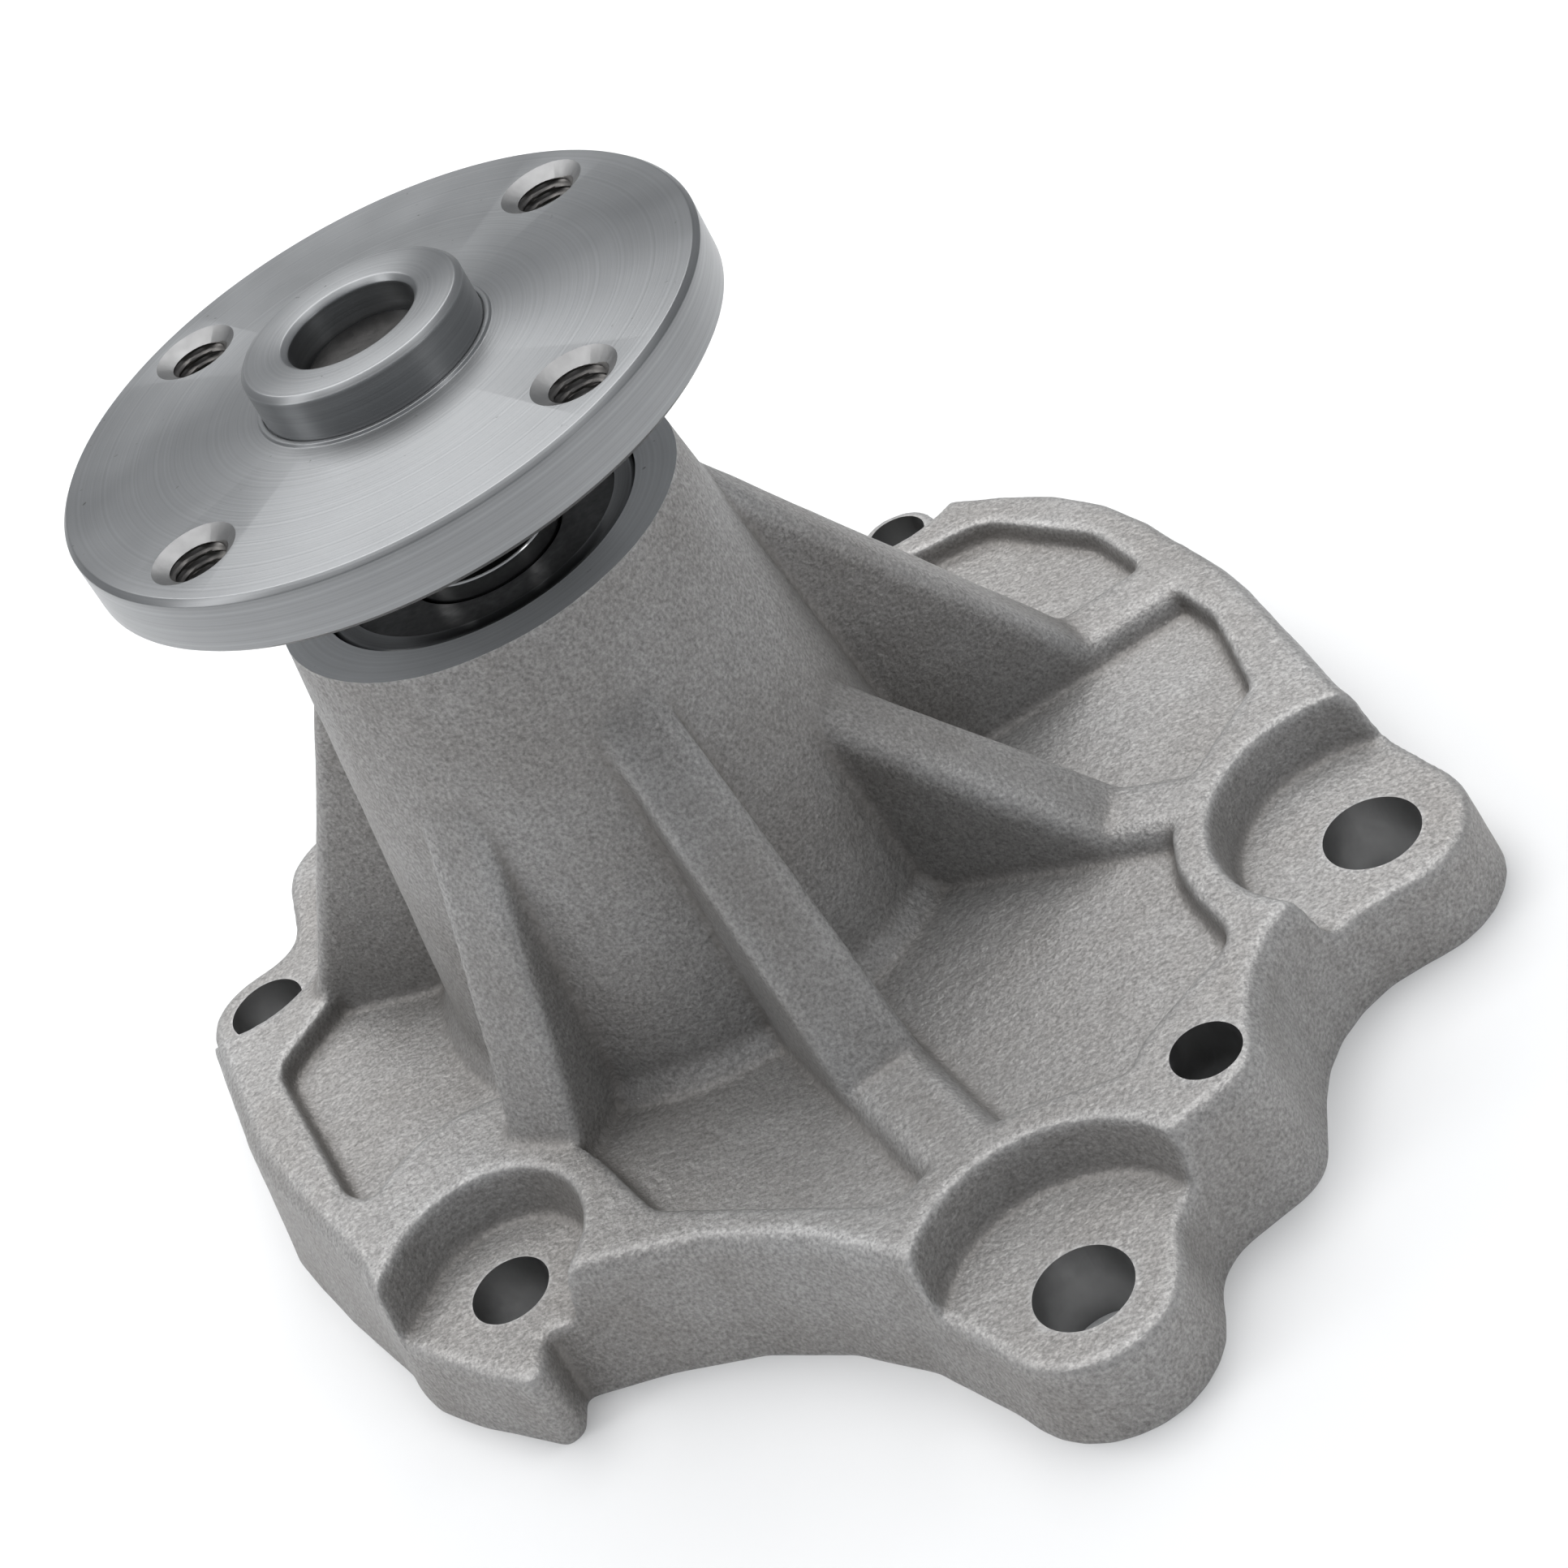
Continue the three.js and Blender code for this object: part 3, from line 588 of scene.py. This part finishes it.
def hub_profile():
    """The hub's section: each corner's radius, height, and rounding in millimetres."""
    bore = SHAFT_RADIUS + GAP
    inner, outer = HUB["bead"] - HUB["bead_width"], HUB["bead"]
    crest = FACE_Z + HUB["bead_height"]
    neck, boss, edge = HUB["neck"], HUB["boss"], HUB["edge"]
    back, neck_end = HUB_BACK, bottom("hub_flange")
    corners = [
        (bore, neck_end, 0),
        (neck - edge, neck_end, 0.1),
        (neck, neck_end + edge, 0.1),
        (neck, back, 1.2),
        (HUB_RADIUS - edge, back, 0.12),
        (HUB_RADIUS, back + edge, 0.12),
        (HUB_RADIUS, FACE_Z - edge, 0.12),
        (HUB_RADIUS - edge, FACE_Z, 0.12),
        (outer, FACE_Z, 0.1),
        (outer - 0.15 * MM, crest, 0.15),
        (inner, crest, 0.15),
        (boss, FACE_Z + 0.1 * MM, 0.1),
        (boss, HUB_TOP - edge, 0.12),
        (boss - edge, HUB_TOP, 0.12),
        (bore + edge, HUB_TOP, 0.15),
        (bore, HUB_TOP - edge, 0.15),
    ]
    points = [(radius, z) for radius, z, _ in corners]
    return rounded_edge(points, [rounding * MM for *_, rounding in corners], 3)


def hub():
    body = outward(lathe("hub_flange_turned", hub_profile(), TURNED, 256))
    mesh = body.data
    mesh.materials.append(RIM)
    mesh.materials.append(NECK)
    rim, neck = 1, 2
    below_flange = HUB_BACK - 0.2 * MM
    # the neck under the flange takes the near-black steel, painted shade; the upright faces take the rim's steel
    for polygon in mesh.polygons:
        if polygon.center.z < below_flange:
            polygon.material_index = neck
        elif abs(polygon.normal.z) < 0.5:
            polygon.material_index = rim
    minor, wide = SCREW["minor"], SCREW["countersink"]
    depth = (wide - minor) * SCREW["slope"]
    for i in range(SCREW_HOLES):
        centre = opening(f"hub_screw_hole_{i + 1}")
        centre = Vector((centre.x, centre.y, 0))
        boolean(body, countersink_cutter(centre, minor, wide, depth, COUNTERSUNK))
        boolean(body, thread_cutter(centre, minor, HUB_BACK - MM, FACE_Z - depth / 2,
                                    SCREW["pitch"], SCREW["thread"]))
    shade(body.data, sharp_from=25)
    finished(body, "rotor", "hub_flange")


# ---------------------------------------------------------------- turned and inner pieces

ON_AXIS = 0.02 * MM             # a corner this near the axis lies on it
END_BAND = 0.6 * MM             # how far the shaft's dark end, painted shade deep in the hub's bore, reaches down it
BALLS = 8                       # in each row


def meridian(node):
    """A turned CAD piece's profile: the chain of its edges that lie in front of the axis."""
    mesh = welded(frame["nodes"][node].data)
    offsets = [vertex.co - AXIS for vertex in mesh.vertices]
    links = {i: [] for i, at in enumerate(offsets) if abs(at.x) < ON_AXIS and at.y < ON_AXIS}
    for edge in mesh.edges:
        a, b = edge.vertices
        if a in links and b in links:
            links[a].append(b)
            links[b].append(a)
    chain = [next((i for i in links if len(links[i]) == 1), min(links))]
    while True:
        following = [i for i in links[chain[-1]] if i not in chain]
        if not following:
            break
        chain.append(following[0])
    radii = [offsets[i].xy.length for i in chain]
    return [(0 if r < ON_AXIS else r, offsets[i].z) for r, i in zip(radii, chain)]


def refined(node, body, look, rounding=0.15 * MM):
    """A turned CAD piece drawn again, truly round, with its corners eased."""
    profile = rounded_edge(meridian(node), rounding, 2)
    return finished(lathe(node + "_turned", profile, look), body, node)


def shaft():
    obj = refined("shaft", "rotor", POLISHED, 0.3 * MM)
    obj.data.materials.append(DARK_END)
    end = top("shaft") - END_BAND
    # the end, deep in the hub's bore, takes the near-black steel: painted shade
    for polygon in obj.data.polygons:
        if polygon.center.z > end:
            polygon.material_index = 1


def ball(node, row):
    low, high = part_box(node)
    work = bmesh.new()
    bmesh.ops.create_icosphere(work, subdivisions=3, radius=(high.x - low.x) / 2)
    bmesh.ops.translate(work, verts=work.verts, vec=(low + high) / 2)
    mesh = bpy.data.meshes.new(node)
    work.to_mesh(mesh)
    work.free()
    mesh.materials.append(POLISHED)
    obj = bpy.data.objects.new(node + "_round", mesh)
    bpy.context.scene.collection.objects.link(obj)
    shade(mesh, sharp_from=60)
    finished(obj, row, node)


def impeller():
    """Sand cast, with soft corners, then bored for the shaft."""
    blank = bpy.data.objects.new("impeller_casting", welded(frame["nodes"]["impeller"].data))
    bpy.context.scene.collection.objects.link(blank)
    body = remeshed(blank, 0.4 * MM, 3, IRON)
    low, high = bottom("impeller"), top("impeller")
    boolean(body, disc_cutter(AXIS, SHAFT_RADIUS + GAP, low - MM, high + MM, BORED))
    finished(body, "rotor", "impeller")


def inner_pieces():
    refined("bearing_outer_ring", "housing", BEARING, 0.25 * MM)
    refined("bearing_seal_front", "housing", RUBBER, 0.3 * MM)
    refined("bearing_seal_rear", "housing", RUBBER, 0.3 * MM)
    refined("seal_case", "housing", BRASS, 0.5 * MM)
    refined("seal_bellows", "housing", RUBBER, 0.5 * MM)
    refined("seal_carbon_ring", "housing", CARBON, 0.15 * MM)
    refined("seal_seat_ring", "rotor", CERAMIC, 0.15 * MM)
    refined("seal_seat_cup", "rotor", RUBBER, 0.3 * MM)
    refined("slinger", "rotor", RUBBER, 0.3 * MM)
    for row in ("front", "rear"):
        for i in range(BALLS):
            ball(f"ball_{row}_{i + 1}", f"{row}_ball_row")
    shaft()
    impeller()


# ---------------------------------------------------------------- camera, light, floor

FORWARD = (-0.2308, 0.7876, -0.5714)
RIGHT = (0.9127, -0.0283, -0.4076)
EYE = (121.9, -355.0, 180.0)    # millimetres from the middle of the hub's face
LENS = 80.7                     # millimetres, on a sensor 36 wide
WORLD = {"colour": (0.93, 0.96, 1.0, 1), "strength": 0.4}
AIM = (0, 0, 0.05)              # near the middle of the pump
LIGHTS = {                      # place, size and watts
    "overhead": ((-0.1, 0.25, 0.8), (1.0, 1.0), 9.5),
    "left": ((-0.8, -0.2, 0.6), (0.3, 0.6), 1.5),
    "right": ((0.9, -0.45, 0.4), (0.2, 0.4), 0.5),
}
FLOOR_HALF = 3.0
FLOOR_Z = -0.02 * MM            # just below the pump, so that the two faces don't coincide


def camera():
    """The photograph's view: from the front and a little right, 35 degrees up, and rolled."""
    forward = Vector(FORWARD).normalized()
    right = Vector(RIGHT)
    right = (right - right.dot(forward) * forward).normalized()
    up = right.cross(forward)
    data = bpy.data.cameras.new("camera")
    data.lens = LENS
    data.sensor_width = 36
    data.clip_start = 0.01
    obj = bpy.data.objects.new("camera", data)
    bpy.context.scene.collection.objects.link(obj)
    eye = AXIS + Vector((0, 0, FACE_Z)) + Vector(EYE) * MM
    rotation = Matrix((right, up, -forward)).transposed().to_4x4()
    obj.matrix_world = Matrix.Translation(eye) @ rotation
    bpy.context.scene.camera = obj


def area_light(name, place, size, power):
    """A soft box of that size, aimed at the pump."""
    data = bpy.data.lights.new(name, "AREA")
    data.shape = "RECTANGLE"
    data.size, data.size_y = size
    data.energy = power
    obj = bpy.data.objects.new(name, data)
    bpy.context.scene.collection.objects.link(obj)
    obj.location = place
    aim = Vector(AIM) - Vector(place)
    obj.rotation_euler = aim.to_track_quat("-Z", "Y").to_euler()


def floor():
    n = Nodes("floor")
    speck = n.noise(n.add("TexCoord").outputs["Object"], 30, 3.0)
    tone = n.ramp(n.levels(speck, 0.3, 0.7), [(0, grey(0.84)), (1, grey(0.86))])
    n.finish(Base_Color=tone, Roughness=0.7)
    half, low = FLOOR_HALF, FLOOR_Z
    corners = [(-half, -half, low), (half, -half, low), (half, half, low), (-half, half, low)]
    new_object("floor", corners, [(0, 1, 2, 3)], n.material)


def studio():
    world = bpy.data.worlds.new("studio")
    bpy.context.scene.world = world
    world.use_nodes = True
    background = world.node_tree.nodes["Background"]
    background.inputs["Color"].default_value = WORLD["colour"]
    background.inputs["Strength"].default_value = WORLD["strength"]
    for name, (place, size, power) in LIGHTS.items():
        area_light(name, place, size, power)
    floor()
    bpy.context.scene.view_settings.view_transform = "Standard"


# ---------------------------------------------------------------- the pump

camera()
dress_cad()
housing()
hub()
inner_pieces()
studio()
